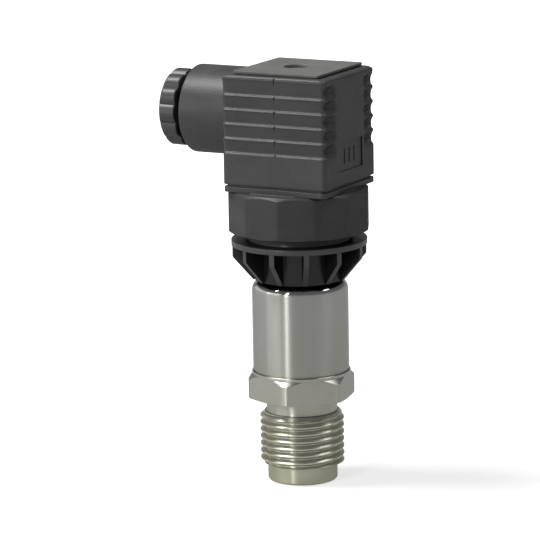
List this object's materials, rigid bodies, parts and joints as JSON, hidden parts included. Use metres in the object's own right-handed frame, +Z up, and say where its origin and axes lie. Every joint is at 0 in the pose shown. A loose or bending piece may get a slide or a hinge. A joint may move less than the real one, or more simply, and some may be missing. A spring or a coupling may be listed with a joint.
{
  "type": "pressure transmitter",
  "caption": "Pressure transmitter with a male pipe thread, hexagon, round steel case, finned plastic ring, twelve-sided collar and an angled cable plug held by a centre screw.",
  "frame": {"origin": "on the main axis, at the bottom face of the nose of the process thread", "axes": "+Z up along the main axis from the thread to the plug, -X along the cable boss of the plug, Y across the ribbed faces"},
  "size_m": [0.0516, 0.035, 0.1041],
  "materials": {
    "stainless_steel": "fine turned stainless steel",
    "zinc_steel": "zinc plated",
    "brass": "plain",
    "tinned_contact": "tin plated",
    "ceramic": "ground",
    "seal_rubber": "matte",
    "board": "solder resist",
    "chip": "moulded",
    "wire": "insulated",
    "black_plastic": "glass-filled, moulded",
    "collar_plastic": "moulded, smooth",
    "plug_plastic": "fine textured",
    "nut_plastic": "moulded, satin"
  },
  "bodies": {
    "root": {"process_connection": "stainless_steel", "case_tube": "stainless_steel", "cell_seal": "seal_rubber", "pressure_cell": "ceramic", "cell_clamp_ring": "stainless_steel", "cell_pins": "tinned_contact", "circuit_board": "board", "board_chip": "chip", "board_capacitors": "zinc_steel", "hookup_wires": "wire", "fin_ring": "black_plastic", "case_seal": "seal_rubber", "waist_seal": "seal_rubber", "collar": "collar_plastic", "connector_base": "plug_plastic", "contact_blades": "tinned_contact", "earth_blade": "tinned_contact", "threaded_insert": "brass", "flat_gasket": "seal_rubber", "plug_housing": "plug_plastic", "top_plate": "plug_plastic", "contact_carrier": "black_plastic", "female_contacts": "tinned_contact", "terminal_screws": "zinc_steel", "cable_grommet": "seal_rubber"},
    "gland_washer": {"gland_washer": "black_plastic"},
    "gland_nut": {"gland_nut": "nut_plastic"},
    "screw_seal": {"screw_seal": "seal_rubber"},
    "fixing_screw": {"fixing_screw": "zinc_steel"}
  },
  "joints": [
    {"name": "gland_travel", "type": "slide", "parent": "root", "child": "gland_washer", "axis": [-1, 0, 0], "range_m": [-0.00075, 0.00225]},
    {"name": "gland_turn", "type": "hinge", "parent": "gland_washer", "child": "gland_nut", "pos_m": [-0.03184, 0, 0.0922], "axis": [-1, 0, 0], "range_deg": [-180, 540]},
    {"name": "screw_travel", "type": "slide", "parent": "root", "child": "screw_seal", "axis": [0, 0, 1], "range_m": [0, 0.003]},
    {"name": "screw_turn", "type": "hinge", "parent": "screw_seal", "child": "fixing_screw", "pos_m": [0, 0, 0.10135], "axis": [0, 0, 1], "range_deg": [0, 2160]}
  ],
  "couplings": [
    {"joint": "gland_turn", "follows": "gland_travel", "rad_per_m": 4188.8},
    {"joint": "screw_turn", "follows": "screw_travel", "rad_per_m": 12566}
  ]
}
